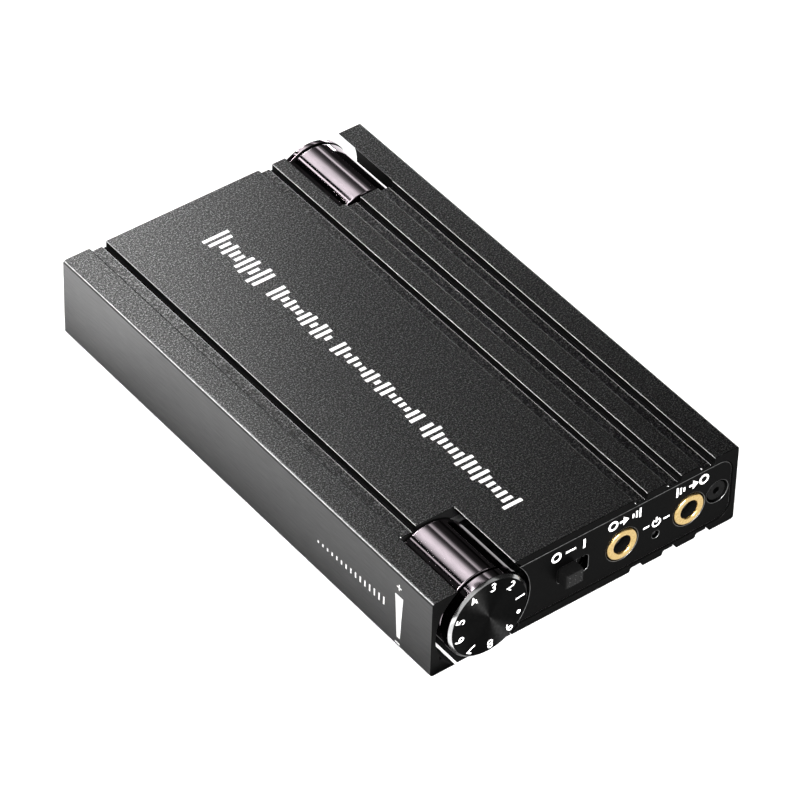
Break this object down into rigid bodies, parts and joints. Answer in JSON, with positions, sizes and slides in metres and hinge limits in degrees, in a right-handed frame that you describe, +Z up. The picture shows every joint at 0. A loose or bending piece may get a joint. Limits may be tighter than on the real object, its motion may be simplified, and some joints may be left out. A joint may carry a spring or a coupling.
{
  "type": "headphone amplifier",
  "caption": "Flat pocket headphone amplifier in a grooved black metal tube, with two corner thumb rollers, a slide switch and two gold-ringed 3.5 mm sockets.",
  "frame": {"origin": "centre of the casing's flat underside", "axes": "+X to the right seen from the front, +Y from the front panel to the rear panel, +Z up out of the top face"},
  "size_m": [0.065, 0.1088, 0.0167],
  "materials": {
    "casing_black": "sand-blasted and black anodised",
    "panel_black": "fine satin black anodised",
    "dial_black": "spun face, black anodised, with a polished chamfer",
    "roller_chrome": "polished black chrome",
    "socket_gold": "gold plated, polished",
    "bare_steel": "plain nickelled steel",
    "screw_black": "black oxide",
    "black_plastic": "moulded, fine texture",
    "board_black": "glass-epoxy laminate with solder mask",
    "cell_foil": "dull laminated foil",
    "pad_foam": "closed-cell foam tape",
    "ferrite_grey": "pressed ferrite",
    "clear_lens": "clear epoxy, unlit",
    "white_plastic": "moulded natural nylon",
    "red_insulation": "soft wire insulation",
    "black_insulation": "soft wire insulation"
  },
  "bodies": {
    "amplifier_body": {"casing": "casing_black", "front_panel": "panel_black", "rear_panel": "panel_black", "front_screw": "screw_black", "rear_screw": "screw_black", "volume_pot": "bare_steel", "bass_pot": "bare_steel", "line_out_jack": "black_plastic", "line_out_ring": "socket_gold", "line_in_jack": "black_plastic", "line_in_ring": "socket_gold", "power_switch": "bare_steel", "power_led": "clear_lens", "charge_led": "clear_lens", "usb_c_shell": "bare_steel", "usb_c_tongue": "black_plastic", "main_board": "board_black", "battery_cell": "cell_foil", "battery_pad": "pad_foam", "battery_lead_red": "red_insulation", "battery_lead_black": "black_insulation", "battery_plug": "white_plastic", "battery_socket": "white_plastic", "coupling_capacitor_1": "cell_foil", "coupling_capacitor_2": "cell_foil", "coupling_capacitor_3": "cell_foil", "coupling_capacitor_4": "cell_foil", "headphone_driver_chip": "black_plastic", "bass_filter_chip": "black_plastic", "charger_chip": "black_plastic", "boost_inductor": "ferrite_grey"},
    "volume_control": {"volume_dial": "dial_black", "volume_roller": "roller_chrome", "volume_shaft": "bare_steel"},
    "bass_control": {"bass_end_cap": "dial_black", "bass_roller": "roller_chrome", "bass_shaft": "bare_steel"},
    "switch_lever": {"power_switch_lever": "black_plastic"}
  },
  "joints": [
    {"name": "volume_turn", "type": "hinge", "parent": "amplifier_body", "child": "volume_control", "pos_m": [-0.0213, -0.0459, 0.00833], "axis": [0, 1, 0], "range_deg": [-80, 220]},
    {"name": "bass_turn", "type": "hinge", "parent": "amplifier_body", "child": "bass_control", "pos_m": [0.0213, 0.0459, 0.00833], "axis": [0, -1, 0], "range_deg": [-150, 150]},
    {"name": "power_slide", "type": "slide", "parent": "amplifier_body", "child": "switch_lever", "axis": [1, 0, 0], "range_m": [0, 0.0024]}
  ]
}
